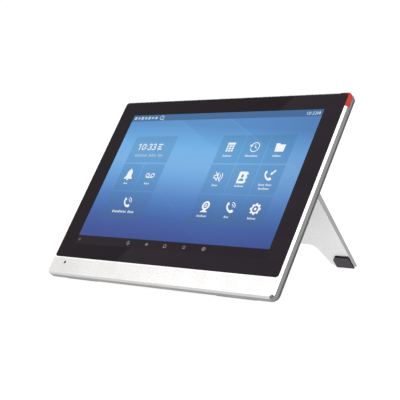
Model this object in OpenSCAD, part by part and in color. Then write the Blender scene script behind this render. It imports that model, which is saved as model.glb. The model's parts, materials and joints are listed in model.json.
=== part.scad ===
// Desk IP phone: a 10.1 inch touch screen in an aluminium frame, leaning back on a hinged plate stand.
// Most parts are drawn in the panel's own axes: X to the right, Y back from the glass, Z up the face.
// in_panel() then leans them back and stands them on the desk, where Z = 0.

/* [Body] */
// Width across the front frame
body_w = 257.2; // [254:0.1:262]
// Height up the face of the front frame
body_h = 183.4; // [183:0.1:186]
// Radius of the outer corners
corner_r = 4.6; // [3.5:0.1:5.5]
// Width of the 45 degree chamfer round the front
chamfer = 1.6; // [1.5:0.1:2.2]
// Depth from the glass to the back of the frame's side band
band_d = 6.6; // [6.6:0.1:7]
// Height of the bare metal strip below the glass
strip_h = 17.1; // [15:0.1:19]
// Depth from the glass to the back of the slim part
slab_d = 11; // [11:0.1:11.5]
// Depth from the glass to the back of the connector housing
housing_d = 24; // [24:0.1:24.4]
// How far the face leans back from upright
lean = 38.2; // [36:0.1:40]

/* [Screen] */
// Width of the lit area
screen_w = 216.96; // [216:0.01:217]
// Height of the lit area
screen_h = 135.6; // [135:0.1:136]
// Height of the lit area's lower edge above the bottom of the body
screen_z = 31.2; // [30.5:0.1:32]
// Thickness of the cover glass
glass_t = 1.1; // [0.8:0.1:1.1]

/* [Stand] */
// Width of the stand plate
stand_w = 204; // [202:1:206]
// Angle between the stand and the back of the body when fully open
open_angle = 72.8; // [71:0.1:74]
// Distance from the hinge axis to the end of the plate
stand_len = 93.2; // [92.5:0.1:94]
// Plate thickness at the hinge
stand_t = 5.6; // [5.2:0.1:5.6]
// Plate thickness at the end
stand_tip_t = 3.4; // [3:0.1:4]
// Height of the arch above the end of the plate
arch_h = 26.5; // [20:0.5:28]
// Radius of the hinge pins
pin_r = 1.6; // [1.5:0.05:1.7]
// Running clearance round the hinge pins
pin_gap = 0.05; // [0.02:0.01:0.1]

/* [Connectors] */
// Radius of the headset socket's bore
headset_r = 1.8; // [1.76:0.01:1.85]
// Radius of the power inlet's bore
power_r = 2.75; // [2.6:0.05:2.8]
// Travel of the reset button
reset_travel = 0.4; // [0.2:0.05:0.4]

/* [Hidden] */
$fn = 64;
eps = 0.01;

// Frame and glass
half_w = body_w / 2;
wall = 2;
rim = 0.3;
glass_gap = 0.1;
pocket_w = body_w - 2 * chamfer - 2 * rim;
pocket_top = body_h - chamfer - rim;
pocket_r = corner_r - chamfer;
pocket_d = glass_t + 0.2;
ledge_d = 2.8;
window_w = 237;
window_z = [24.5, 175];
lens_corner = [118.3, 169.5];
lens_d = 4;
mic = [-110.2, 12];
glass_z = [strip_h + glass_gap, pocket_top - glass_gap];
glass_w = pocket_w - 2 * glass_gap;

// Display stack
stack_w = screen_w + 8;
stack_z = [screen_z - 5.2, screen_z + screen_h + 4.2];
touch_d = [glass_t, glass_t + 0.4];
cell_d = [1.7, 3.1];
light_d = [cell_d[1], 5.3];

// Chassis plate and main board
plate_d = [5.5, 6.3];
plate_x = 124.8;
plate_z = [17.5, 177];
board_d = [8.3, 9.9];
board_x = 70;
board_z = [40.2, 112];
tap_r = 0.8;
chassis_screw_x = 121.8;
chassis_screw_z = [32, 78, 124, 160];
board_holes = [[-64, 66], [64, 66], [-64, 106], [64, 106]];
cover_screw_x = 117;
cover_screw_z = [24, 96, 168];

// Rear cover and its connector housing
cover_inset = 0.4;
cover_side_d = 8.3;
skin = 1.6;
taper_z = 0.2;
housing_z = [38, 126];
housing_half = [108, 102];
window_half = 62;
window_d = [11.4, housing_d - skin - 0.2];
speaker_x = 86;
speaker_z = 66;
speaker_r = 14;
vent_z = [146, 157];
vent_w = 2.2;
vent_pitch = 5;

// Where the panel stands: the taper under the rear cover is level, and rests on rubber feet.
base_foot_t = 0.8;
lift = band_d * sin(lean) - taper_z * cos(lean) + base_foot_t;

// Hinge and stand, in the panel's axes and in the stand's own (S away from the hinge, W towards the back)
hinge_y = 27.8;
hinge_z = 112.94;
hinge_height = hinge_z * cos(lean) - hinge_y * sin(lean) + lift;
hinge_depth = hinge_z * sin(lean) + hinge_y * cos(lean);
slope = open_angle - lean;
barrel_x = [73, 87];
barrel_r = 3.3;
ear_t = 2.6;
ear_gap = 0.4;
plate_start = 5;
thinning = (stand_t - stand_tip_t) / stand_len;
foot_t = 1.6;
foot_len = 14.1;
foot_x = [84.5, stand_w / 2 - 0.2];

// The origin is the middle of the bottom of the object's box.
front_y = chamfer * sin(lean);
back_y = hinge_depth + stand_len * sin(slope) + stand_t / 2 * cos(slope);
shift_y = -(front_y + back_y) / 2;

// Connector places along the port plate
port_z = 39.7;
power_x = -52;
lan_x = -34;
pc_x = -15;
usb_x = 5;
headset_x = 24;
reset_x = 40;
port_y = 16;
button_top = port_z + 4.4;

// ---------- helpers ----------

// Leans the panel's axes back and stands them on the desk.
module in_panel() {
    translate([0, shift_y, lift])
        rotate([-lean, 0, 0])
            children();
}

// The stand's own axes, at the hinge: Y runs down the plate and Z towards its back.
module in_stand() {
    in_panel()
        translate([0, hinge_y, hinge_z])
            rotate([open_angle - 90, 0, 0])
                children();
}

module block(x, y, z) {
    translate([x[0], y[0], z[0]])
        cube([x[1] - x[0], y[1] - y[0], z[1] - z[0]]);
}

// A flat shape drawn in X and Z, given depth in Y.
module deep(y) {
    translate([0, y[1], 0])
        rotate([90, 0, 0])
            linear_extrude(y[1] - y[0])
                children();
}

// A profile drawn in Y and Z, run along X.
module along_x(x) {
    translate([x[0], 0, 0])
        rotate([90, 0, 90])
            linear_extrude(x[1] - x[0])
                children();
}

module round_rect(w, z, r) {
    translate([-w / 2 + r, z[0]])
        square([w - 2 * r, z[1] - z[0]]);
    translate([-w / 2, z[0] + r])
        square([w, z[1] - z[0] - 2 * r]);
    for (x = [-1, 1], cz = [z[0] + r, z[1] - r])
        translate([x * (w / 2 - r), cz])
            circle(r);
}

module rod_y(x, z, y, r) {
    translate([x, y[0], z])
        rotate([-90, 0, 0])
            cylinder(h = y[1] - y[0], r = r);
}

module rod_z(x, y, z, r) {
    translate([x, y, z[0]])
        cylinder(h = z[1] - z[0], r = r);
}

module rod_x(x, r) {
    translate([x[0], 0, 0])
        rotate([0, 90, 0])
            cylinder(h = x[1] - x[0], r = r);
}

// A flat screw seen from the back: head, then a shank towards the glass.
module back_screw(x, z, head_y, head_r, shank_y, shank_r) {
    difference() {
        union() {
            rod_y(x, z, head_y, head_r);
            rod_y(x, z, [shank_y, head_y[0] + eps], shank_r);
        }
        translate([x, head_y[1] - 0.6, z])
            rotate([-90, 0, 0])
                cylinder(h = 1, r = head_r * 0.5, $fn = 6);
    }
}

// Points of an arc, from angle a to angle b, as an outline.
function arc(cx, cy, r, a, b, n) = [
    for (i = [0 : n]) [cx + r * cos(a + (b - a) * i / n), cy + r * sin(a + (b - a) * i / n)]
];

// ---------- front frame, glass and display ----------

// The outline of the frame: the chamfer narrows it towards the glass.
module body_block() {
    hull() {
        deep([0, eps])
            round_rect(body_w - 2 * chamfer, [chamfer, body_h - chamfer], corner_r - chamfer, $fn = 48);
        deep([chamfer, band_d])
            round_rect(body_w, [0, body_h], corner_r, $fn = 48);
    }
}

// The corner that the call indicator's lens takes out of the frame, outside the glass pocket.
module indicator_corner() {
    difference() {
        block([lens_corner[0], half_w + 1], [-1, lens_d], [lens_corner[1], body_h + 1]);
        deep([-2, lens_d + 1])
            round_rect(pocket_w, [strip_h, pocket_top], pocket_r, $fn = 48);
    }
}

module front_frame() {
    color("gainsboro")
        in_panel()
            difference() {
                union() {
                    difference() {
                        body_block();
                        deep([-1, pocket_d])
                            round_rect(pocket_w, [strip_h, pocket_top], pocket_r, $fn = 48);
                        block([-window_w / 2, window_w / 2], [-1, 9], window_z);
                        block([wall - half_w, half_w - wall], [ledge_d, 9], [wall, body_h - wall]);
                    }
                    for (x = [-1, 1], z = chassis_screw_z)
                        rod_y(x * chassis_screw_x, z, [ledge_d - 0.5, plate_d[0]], 2.9);
                }
                indicator_corner();
                for (x = [-1, 1], z = chassis_screw_z)
                    rod_y(x * chassis_screw_x, z, [3.4, 7], tap_r);
                rod_y(mic[0], mic[1], [-1, 4], 0.7);
            }
}

module cover_glass() {
    color([0.1, 0.09, 0.1])
        in_panel()
            deep([0, glass_t])
                round_rect(glass_w, glass_z, pocket_r - glass_gap);
}

module glass_tape() {
    color("dimgray")
        in_panel()
            difference() {
                block([-125.5, 125.5], [glass_t, pocket_d], [18.5, 180.5]);
                block([-window_w / 2, window_w / 2], [0, 3], window_z);
            }
}

module touch_sensor() {
    color("lightcyan")
        in_panel()
            block([-stack_w / 2 - 1, stack_w / 2 + 1], touch_d, stack_z);
}

module lcd_cell() {
    color("royalblue")
        in_panel()
            block([-stack_w / 2, stack_w / 2], cell_d, stack_z);
}

module backlight_unit() {
    color("silver")
        in_panel()
            block([-stack_w / 2, stack_w / 2], light_d, stack_z);
}

// The display's tail leaves the cell's lower edge, goes back through the chassis and up to the board.
module display_flex() {
    color("darkorange")
        in_panel() {
            block([-15, 15], [2.9, 3.1], [20, stack_z[0]]);
            block([-15, 15], [3.1 - eps, 7.2], [20, 20.2]);
            block([-15, 15], [7, 7.2], [20.2 - eps, 46]);
        }
}

module touch_flex() {
    color("orange")
        in_panel() {
            block([-60, -48], [touch_d[1] - 0.2, 7.2], [25.1, 25.3]);
            block([-60, -48], [7, 7.2], [25.3 - eps, 46]);
            block([-60, -48], [touch_d[0], touch_d[1]], [25.3 - eps, stack_z[0]]);
        }
}

// ---------- call indicator and microphone ----------

module indicator_lens() {
    color("firebrick")
        in_panel()
            intersection() {
                body_block();
                indicator_corner();
            }
}

module indicator_board() {
    color("seagreen")
        in_panel() {
            block([119.2, 126], [3, 3.8], [167, 178.4]);
            for (z = [169.5, 173, 176.5])
                block([124.4, 126], [3.8 - eps, 4.5], [z - 1, z + 1]);
        }
}

module indicator_lead() {
    color("crimson")
        in_panel() {
            block([119.6, 121.4], [3.8, 5.0], [168, 170]);
            block([119.6, 121.4], [5.0 - eps, 7.6], [178.2, 179.2]);
            block([119.6, 121.4], [4.2, 5.0], [170 - eps, 179.2]);
            block([67.4, 121.4], [6.8, 7.6], [178.2, 179.2]);
            block([67.4, 69.2], [6.8, 7.6], [96, 179.2]);
            block([56, 69.2], [6.8, 7.6], [96, 97]);
        }
}

module microphone_boot() {
    color("dimgray")
        in_panel()
            difference() {
                rod_y(mic[0], mic[1], [ledge_d, 5.4], 3.4);
                rod_y(mic[0], mic[1], [2, 4], 0.7);
                rod_y(mic[0], mic[1], [3.8, 6], 2);
            }
}

module microphone_capsule() {
    color("goldenrod")
        in_panel()
            rod_y(mic[0], mic[1], [3.8, 5.2], 2);
}

module microphone_lead() {
    color("gray")
        in_panel() {
            block([-111, -109.4], [5.2, 7.6], [11.6, 12.4]);
            block([-111, -109.4], [6.8, 7.6], [12.4 - eps, 62]);
            block([-109.4 - eps, -62], [6.8, 7.6], [60.4, 62]);
        }
}

// ---------- chassis and electronics ----------

module chassis_plate() {
    color("slategray")
        in_panel()
            difference() {
                union() {
                    block([-plate_x, plate_x], plate_d, plate_z);
                    for (h = board_holes)
                        rod_y(h[0], h[1], [plate_d[1] - eps, board_d[0]], 2.4);
                }
                for (x = [-1, 1], z = chassis_screw_z)
                    rod_y(x * chassis_screw_x, z, [5, 7], 1.1);
                for (x = [-1, 1], z = cover_screw_z)
                    rod_y(x * cover_screw_x, z, [5, 7], tap_r);
                for (h = board_holes)
                    rod_y(h[0], h[1], [6, 9], tap_r);
                block([-17, 17], [5, 7], [19, 21.6]);
                block([-62, -46], [5, 7], [24, 26.4]);
                block([118.6, 122.4], [5, 7], [176, 178]);
            }
}

module chassis_screws() {
    color("gray")
        in_panel()
            for (x = [-1, 1], z = chassis_screw_z)
                back_screw(x * chassis_screw_x, z, [plate_d[1], plate_d[1] + 1], 1.9, 3.6, tap_r);
}

module main_board() {
    color("darkgreen")
        in_panel()
            difference() {
                union() {
                    block([-board_x, board_x], board_d, board_z);
                    block([-16, 16], [7.3, board_d[0] + eps], [41, 46]);
                    block([-61, -47], [7.3, board_d[0] + eps], [41, 46]);
                    for (x = [-58, 58])
                        block([x - 4, x + 4], [12, 14], [76, 84]);
                    for (x = [-58, 58])
                        block([x - 3, x + 3], [board_d[1] - eps, 12 + eps], [76.6, 83.4]);
                }
                for (h = board_holes)
                    rod_y(h[0], h[1], [8, 11], 1.2);
            }
}

module board_screws() {
    color("gray")
        in_panel()
            for (h = board_holes)
                back_screw(h[0], h[1], [board_d[1], board_d[1] + 1.2], 2.2, 6.6, tap_r);
}

module processor() {
    color([0.15, 0.15, 0.16])
        in_panel() {
            block([-14, 4], [board_d[1], 11.2], [80, 98]);
        }
}

// A finned plate lies on the processor.
module heat_spreader() {
    color("lightsteelblue")
        in_panel() {
            block([-26, 16], [11.2, 12.4], [68, 108]);
            for (i = [0 : 8])
                block([-26, 16], [12.4 - eps, 16], [69 + 4.6 * i, 70.4 + 4.6 * i]);
        }
}

module clock_cell() {
    color("silver")
        in_panel()
            rod_y(36, 92, [10.9, 14.1], 10);
}

module clock_cell_holder() {
    color([0.2, 0.2, 0.22])
        in_panel()
            difference() {
                rod_y(36, 92, [board_d[1], 13.6], 11.4);
                rod_y(36, 92, [10.9, 15], 10);
                block([20, 52], [10.9, 15], [97, 105]);
            }
}

// An eight-way modular socket. The plug goes up into it from below, its latch towards the back.
module modular_jack(x) {
    in_panel()
        difference() {
            block([x - 8, x + 8], [board_d[1], 22.1], [port_z, port_z + 21]);
            block([x - 6, x + 6], [12.6, 19.4], [port_z - 1, port_z + 17]);
            block([x - 3.2, x + 3.2], [19.3, 20.8], [port_z - 1, port_z + 17]);
        }
}

module modular_contacts(x) {
    in_panel()
        for (i = [0 : 7])
            block([x - 3.82 + 1.02 * i, x - 3.32 + 1.02 * i], [12.6, 13.1], [port_z + 5, port_z + 17]);
}

module lan_jack() {
    color("silver") modular_jack(lan_x);
}

module lan_contacts() {
    color("gold") modular_contacts(lan_x);
}

module pc_jack() {
    color("silver") modular_jack(pc_x);
}

module pc_contacts() {
    color("gold") modular_contacts(pc_x);
}

module usb_socket() {
    color("silver")
        in_panel()
            difference() {
                block([usb_x - 7.2, usb_x + 7.2], [board_d[1], 19.2], [port_z, port_z + 14]);
                block([usb_x - 6.3, usb_x + 6.3], [13.2, 18.3], [port_z - 1, port_z + 12.4]);
            }
}

module usb_tongue() {
    color("whitesmoke")
        in_panel()
            block([usb_x - 5.6, usb_x + 5.6], [15.9, 17.8], [port_z + 1, port_z + 12.4]);
}

module power_jack() {
    color([0.12, 0.12, 0.13])
        in_panel()
            difference() {
                block([power_x - 4.5, power_x + 4.5], [board_d[1], 21], [port_z, port_z + 14]);
                rod_z(power_x, port_y, [port_z - 1, port_z + 10], power_r);
            }
}

module power_pin() {
    color("silver")
        in_panel()
            rod_z(power_x, port_y, [port_z + 1, port_z + 10], 1);
}

module headset_jack() {
    color([0.12, 0.12, 0.13])
        in_panel()
            difference() {
                block([headset_x - 4, headset_x + 4], [board_d[1], 20], [port_z, port_z + 14.5]);
                rod_z(headset_x, port_y, [port_z - 1, port_z + 13], headset_r);
            }
}

module reset_switch() {
    color("dimgray")
        in_panel() {
            block([reset_x - 3, reset_x + 3], [board_d[1], 19], [port_z + 6, port_z + 9]);
            rod_z(reset_x, port_y, [button_top + reset_travel + 0.2, port_z + 6 + eps], 1.2);
        }
}

module reset_button() {
    color("black")
        in_panel() {
            rod_z(reset_x, port_y, [38.5, button_top], 1);
            rod_z(reset_x, port_y, [port_z + 0.3, port_z + 1.3], 2);
        }
}

// The metal plate round the sockets, set in the housing's lower wall.
module port_plate() {
    color("darkgray")
        in_panel()
            difference() {
                block([0.2 - window_half, window_half - 0.2], window_d + [0.1, -0.1], [38.3, 39.5]);
                for (x = [lan_x, pc_x])
                    block([x - 6.4, x + 6.4], [12.2, 21.2], [38, 40]);
                block([usb_x - 6.7, usb_x + 6.7], [12.8, 18.7], [38, 40]);
                rod_z(power_x, port_y, [38, 40], 3.6);
                rod_z(headset_x, port_y, [38, 40], 3);
                rod_z(reset_x, port_y, [38, 40], 1.35);
            }
}

// ---------- loudspeakers and antenna ----------

module at_speaker(side) {
    in_panel()
        translate([side * speaker_x, 0, speaker_z])
            children();
}

module speaker_frame(side) {
    at_speaker(side)
        difference() {
            rod_y(0, 0, [13, housing_d - skin - 0.2], speaker_r);
            rod_y(0, 0, [17, 25], 12);
            rod_y(0, 0, [12, 18], 6.5);
        }
}

module speaker_magnet(side) {
    at_speaker(side)
        rod_y(0, 0, [11.5, 17], 6.5);
}

// A shallow cone with a domed middle, facing the grille.
module speaker_cone(side) {
    at_speaker(side)
        rotate([-90, 0, 0])
            rotate_extrude()
                polygon([[0, 18.4], [3.5, 17.9], [4.5, 17.4], [11.5, 20.6], [12, 20.6], [12, 21.2],
                         [11.2, 21.2], [4.5, 18.2], [3.5, 18.7], [0, 19.2]]);
}

// Slots in a round plate, set into the back of the housing.
module speaker_grille(side) {
    at_speaker(side)
        difference() {
            rod_y(0, 0, [housing_d - 1.2, housing_d - 0.1], 13.4);
            for (i = [-4 : 4]) {
                half = sqrt(11.8 * 11.8 - 5.76 * i * i) - 1;
                block([-half, half], [20, 25], [2.4 * i - 0.6, 2.4 * i + 0.6]);
            }
        }
}

module speaker_lead(side) {
    in_panel()
        mirror([side < 0 ? 1 : 0, 0, 0]) {
            block([speaker_x - 1, speaker_x + 1], [11.4, 12.4], [speaker_z + 7, 81]);
            block([62, speaker_x - 1 + eps], [11.4, 12.4], [79, 81]);
        }
}

module speaker_frame_left() {
    color([0.2, 0.2, 0.2]) speaker_frame(-1);
}

module speaker_frame_right() {
    color([0.2, 0.2, 0.2]) speaker_frame(1);
}

module speaker_magnet_left() {
    color("gray") speaker_magnet(-1);
}

module speaker_magnet_right() {
    color("gray") speaker_magnet(1);
}

module speaker_cone_left() {
    color([0.1, 0.1, 0.1]) speaker_cone(-1);
}

module speaker_cone_right() {
    color([0.1, 0.1, 0.1]) speaker_cone(1);
}

module speaker_grille_left() {
    color([0.16, 0.16, 0.17]) speaker_grille(-1);
}

module speaker_grille_right() {
    color([0.16, 0.16, 0.17]) speaker_grille(1);
}

module speaker_lead_left() {
    color("crimson") speaker_lead(-1);
}

module speaker_lead_right() {
    color("crimson") speaker_lead(1);
}

module antenna_board() {
    color("darkkhaki")
        in_panel() {
            block([-50, -10], [8.4, 9.2], [166, 178]);
            block([-31, -30], [6.8, 7.6], [112.8, 170]);
            block([-31, -30], [7.6 - eps, 8.4 + eps], [169, 170]);
        }
}

// ---------- rear cover ----------

// The slim part: upright sides, then a slope in to the back; its lower end is cut level with the desk.
module cover_block() {
    hull() {
        deep([band_d, band_d + eps])
            round_rect(
                body_w - 2 * cover_inset,
                [taper_z + eps * tan(lean), body_h - cover_inset],
                corner_r, $fn = 32
            );
        deep([cover_side_d - eps, cover_side_d])
            round_rect(
                body_w - 2 * cover_inset,
                [taper_z + (cover_side_d - band_d) * tan(lean), body_h - cover_inset],
                corner_r, $fn = 32
            );
        deep([slab_d - eps, slab_d])
            round_rect(
                body_w - 6.2,
                [taper_z + (slab_d - band_d) * tan(lean), body_h - 3.1],
                corner_r - 1, $fn = 32
            );
    }
}

// The connector housing on its back, with sloped sides and top. inset shrinks it by the wall's thickness.
module housing_block(inset) {
    low = housing_z[0] + inset;
    back = housing_d - inset;
    top = housing_z[1] + housing_d - slab_d - inset * 1.414;
    half = housing_half - [inset * 1.1, inset * 1.1];
    intersection() {
        along_x([-130, 130])
            polygon([[band_d + 2.7, low], [back, low], [back, top + slab_d - back], [band_d + 2.7, top + 1.7]]);
        linear_extrude(200)
            polygon([
                [-half[0] - 0.8, band_d + 2.7], [half[0] + 0.8, band_d + 2.7],
                [half[1], back], [-half[1], back]
            ]);
    }
}

// A round-ended air slot through the slim part's back.
module vent_slot(x) {
    deep([slab_d - skin - 0.5, slab_d + 1])
        translate([x, 0])
            round_rect(vent_w, vent_z, vent_w / 2 - eps, $fn = 24);
}

module rear_cover() {
    color([0.22, 0.22, 0.23])
        in_panel()
            difference() {
                union() {
                    difference() {
                        union() {
                            cover_block();
                            housing_block(0);
                        }
                        block([-125.4, 125.4], [band_d - 1, slab_d - skin], [5.4, 180]);
                        housing_block(skin);
                    }
                    for (x = [-1, 1], z = cover_screw_z)
                        rod_y(x * cover_screw_x, z, [plate_d[1] + 0.1, slab_d - 1], 3);
                    for (side = [-1, 1], x = [75, 85])
                        rod_y(side * x, 121, [17, housing_d - 1], 2.6);
                }
                for (x = [-1, 1], z = cover_screw_z) {
                    rod_y(x * cover_screw_x, z, [6, 12], 1.2);
                    rod_y(x * cover_screw_x, z, [9.5, 12], 2.5);
                }
                for (side = [-1, 1], x = [75, 85])
                    rod_y(side * x, 121, [18.5, 25], 0.9);
                for (side = [-1, 1]) {
                    rod_y(side * speaker_x, speaker_z, [21, 25], 12.4);
                    rod_y(side * speaker_x, speaker_z, [housing_d - 1.2, 25], 13.5);
                }
                block([-window_half, window_half], window_d, [36, 41]);
                for (side = [-1, 1], i = [2 : 12])
                    vent_slot(side * i * vent_pitch);
            }
}

module rear_cover_screws() {
    color("gray")
        in_panel()
            for (x = [-1, 1], z = cover_screw_z)
                back_screw(x * cover_screw_x, z, [9.5, 10.7], 2.4, plate_d[0] + 0.1, tap_r);
}

// Rubber strips on the level taper, drawn straight on the desk.
module base_foot(side) {
    back_edge = shift_y + slab_d * cos(lean) + (taper_z + (slab_d - band_d) * tan(lean)) * sin(lean);
    translate([side * 88 - 20, back_edge - 4.2, 0])
        cube([40, 3.9, base_foot_t]);
}

module base_foot_left() {
    color([0.15, 0.15, 0.15]) base_foot(-1);
}

module base_foot_right() {
    color([0.15, 0.15, 0.15]) base_foot(1);
}

// ---------- hinges ----------

// A screwed foot and two ears that carry the pin.
module hinge_bracket(side) {
    ears = [barrel_x[0] - ear_gap - ear_t, barrel_x[1] + ear_gap];
    in_panel()
        mirror([side < 0 ? 1 : 0, 0, 0])
            difference() {
                union() {
                    block([ears[0], ears[1] + ear_t], [housing_d, housing_d + 1.6], [117.4, 124.6]);
                    for (x = ears) {
                        translate([0, hinge_y, hinge_z])
                            rod_x([x, x + ear_t], 3.6);
                        along_x([x, x + ear_t])
                            polygon([
                                [housing_d, 124.6], [26.4, 124.6],
                                [hinge_y + 3.6 * cos(30), hinge_z + 3.6 * sin(30)],
                                [hinge_y, hinge_z], [hinge_y - 3.6, hinge_z], [housing_d, 117.4]
                            ]);
                    }
                }
                translate([0, hinge_y, hinge_z])
                    rod_x([60, 100], pin_r + pin_gap);
                for (x = [75, 85])
                    rod_y(x, 121, [23, 27], 1.1);
            }
}

module hinge_bracket_left() {
    color("silver") hinge_bracket(-1);
}

module hinge_bracket_right() {
    color("silver") hinge_bracket(1);
}

module bracket_screws() {
    color("gray")
        in_panel()
            for (side = [-1, 1], x = [75, 85])
                back_screw(side * x, 121, [housing_d + 1.6, housing_d + 2.8], 1.9, 18.6, 0.9);
}

module hinge_washers() {
    color("lightgray")
        in_panel()
            for (side = [-1, 1])
                translate([side * (barrel_x[1] + ear_gap + ear_t + 0.6), hinge_y, hinge_z])
                    difference() {
                        rod_x([-0.6, 0.6], 3.3);
                        rod_x([-1, 1], pin_r + 0.15);
                    }
}

module hinge_pin(side) {
    in_panel()
        translate([0, hinge_y, hinge_z])
            mirror([side < 0 ? 1 : 0, 0, 0]) {
                rod_x([barrel_x[0] - ear_gap - ear_t - 0.5, 94.6], pin_r);
                rod_x([barrel_x[0] - ear_gap - ear_t - 1.8, barrel_x[0] - ear_gap - ear_t - 0.4], 2.8);
            }
}

module hinge_pin_left() {
    color("gainsboro") hinge_pin(-1);
}

module hinge_pin_right() {
    color("gainsboro") hinge_pin(1);
}

module hinge_nuts() {
    color("gray")
        in_panel()
            for (side = [-1, 1])
                translate([0, hinge_y, hinge_z])
                    mirror([side < 0 ? 1 : 0, 0, 0])
                        difference() {
                            translate([91.6, 0, 0])
                                rotate([0, 90, 0])
                                    cylinder(h = 2.2, r = 3.1, $fn = 6);
                            rod_x([90, 95], pin_r);
                        }
}

// ---------- stand ----------

// W of the plate's front face at a distance s from the hinge.
function front_face(s) = thinning * s - stand_t / 2;

// S at which the plate's end, or the foot's, is level, at a height above the desk.
function level_s(w, height) = (hinge_height - height + w * sin(slope)) / cos(slope);

// The plate's end is level too: its height follows from its length along the back face.
end_height = hinge_height - stand_len * cos(slope) + stand_t / 2 * sin(slope);
end_front_s = level_s(front_face(stand_len - 2.3), end_height);

// The arch between the legs, in X and distance from the end: an arc, a steep straight side and a flare.
module arch_outline() {
    steep = 71.6;
    top_r = 8.5;
    flare_r = 6;
    top_x = 65.5;
    side_x = 78.5;
    side_h = 5.8;
    flare_x = side_x + flare_r * sin(steep);
    right = concat(
        arc(top_x, arch_h - top_r, top_r, 90, 90 - steep, 10),
        arc(flare_x, side_h + flare_r * cos(steep), flare_r, 270 - steep, 270, 10),
        [[flare_x, -10]]
    );
    left = [for (i = [len(right) - 1 : -1 : 0]) [-right[i][0], right[i][1]]];
    polygon(concat(right, left));
}

module stand_plate() {
    stop_w = 1.6;
    stop_y = housing_d + 0.3 - hinge_y;
    color("lightgray")
        in_stand()
            difference() {
                union() {
                    difference() {
                        along_x([-stand_w / 2, stand_w / 2])
                            polygon([
                                [plate_start, stand_t / 2], [stand_len, stand_t / 2],
                                [end_front_s, front_face(end_front_s)], [plate_start, front_face(plate_start)]
                            ]);
                        translate([0, stand_len, -10])
                            linear_extrude(20)
                                mirror([0, 1, 0])
                                    arch_outline();
                    }
                    for (side = [-1, 1])
                        mirror([side < 0 ? 1 : 0, 0, 0]) {
                            rod_x(barrel_x, barrel_r);
                            block(barrel_x, [0, plate_start + eps], [-2.6, stand_t / 2]);
                            // the heel meets the housing when the stand is fully open
                            intersection() {
                                block(barrel_x + [1, -1], [-6, 0], [-stop_w, stop_w]);
                                rotate([90 - open_angle, 0, 0])
                                    block([0, 130], [stop_y, 10], [-10, 10]);
                            }
                        }
                }
                for (side = [-1, 1])
                    mirror([side < 0 ? 1 : 0, 0, 0])
                        rod_x(barrel_x + [-1, 1], pin_r);
            }
}

// A rubber pad on the front of each leg. Its lower end is level and stands on the desk.
module stand_foot(side) {
    top = level_s(front_face(stand_len), 0) - foot_len;
    low_w = front_face(stand_len - 1);
    corner = 4.6;
    bevel = 0.9;
    in_stand()
        mirror([side < 0 ? 1 : 0, 0, 0])
            intersection() {
                along_x(foot_x)
                    polygon([
                        [top, front_face(top)], [level_s(low_w, 0), low_w],
                        [level_s(low_w - foot_t, 0), low_w - foot_t],
                        [top + bevel, front_face(top) - foot_t]
                    ]);
                translate([0, 0, -20])
                    linear_extrude(40)
                        polygon([
                            [foot_x[0] + corner, top - 1], [foot_x[1] + 1, top - 1],
                            [foot_x[1] + 1, stand_len + 5], [foot_x[0], stand_len + 5],
                            [foot_x[0], top + corner]
                        ]);
            }
}

module stand_foot_left() {
    color([0.25, 0.24, 0.25]) stand_foot(-1);
}

module stand_foot_right() {
    color([0.25, 0.24, 0.25]) stand_foot(1);
}

front_frame();
cover_glass();
glass_tape();
touch_sensor();
lcd_cell();
backlight_unit();
display_flex();
touch_flex();
indicator_lens();
indicator_board();
indicator_lead();
microphone_boot();
microphone_capsule();
microphone_lead();
chassis_plate();
chassis_screws();
main_board();
processor();
heat_spreader();
clock_cell();
clock_cell_holder();
lan_jack();
lan_contacts();
pc_jack();
pc_contacts();
usb_socket();
usb_tongue();
power_jack();
power_pin();
headset_jack();
reset_switch();
port_plate();
speaker_frame_left();
speaker_magnet_left();
speaker_cone_left();
speaker_grille_left();
speaker_lead_left();
speaker_frame_right();
speaker_magnet_right();
speaker_cone_right();
speaker_grille_right();
speaker_lead_right();
antenna_board();
rear_cover();
rear_cover_screws();
board_screws();
hinge_bracket_left();
hinge_bracket_right();
bracket_screws();
hinge_washers();
base_foot_left();
base_foot_right();
stand_plate();
stand_foot_left();
stand_foot_right();
hinge_pin_left();
hinge_pin_right();
hinge_nuts();
reset_button();
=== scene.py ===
"""Looks of the desk IP phone around its CAD frame.

Finer shells stand in for the front frame, the glass and the indicator lens, a lit picture and its marks lie
behind the glass, and every other CAD node keeps its shape and gets a procedural finish, the listed ones soft
edges.
"""

import json
import math

import bmesh
import bpy
from mathutils import Matrix, Vector
from mathutils.geometry import tessellate_polygon

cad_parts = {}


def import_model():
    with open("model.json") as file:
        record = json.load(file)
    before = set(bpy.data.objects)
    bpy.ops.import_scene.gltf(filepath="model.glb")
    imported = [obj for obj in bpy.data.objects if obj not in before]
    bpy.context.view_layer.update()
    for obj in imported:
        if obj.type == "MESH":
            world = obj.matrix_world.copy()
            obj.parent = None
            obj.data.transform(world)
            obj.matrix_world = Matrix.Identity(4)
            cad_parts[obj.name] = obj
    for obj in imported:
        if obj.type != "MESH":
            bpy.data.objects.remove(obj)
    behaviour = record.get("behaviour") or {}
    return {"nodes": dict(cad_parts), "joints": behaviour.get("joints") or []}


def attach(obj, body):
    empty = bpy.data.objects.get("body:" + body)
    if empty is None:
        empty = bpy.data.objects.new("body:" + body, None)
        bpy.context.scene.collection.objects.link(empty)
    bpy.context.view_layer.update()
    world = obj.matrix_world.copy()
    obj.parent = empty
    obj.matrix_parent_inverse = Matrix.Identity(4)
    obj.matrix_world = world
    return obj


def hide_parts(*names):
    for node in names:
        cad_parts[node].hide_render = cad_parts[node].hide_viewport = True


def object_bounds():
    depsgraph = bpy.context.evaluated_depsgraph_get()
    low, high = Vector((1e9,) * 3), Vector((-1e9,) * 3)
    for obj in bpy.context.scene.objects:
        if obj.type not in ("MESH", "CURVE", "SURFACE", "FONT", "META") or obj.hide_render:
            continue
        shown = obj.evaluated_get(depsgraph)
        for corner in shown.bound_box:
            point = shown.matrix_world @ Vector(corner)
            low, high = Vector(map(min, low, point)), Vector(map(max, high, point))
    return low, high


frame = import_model()
cad_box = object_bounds()
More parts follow.
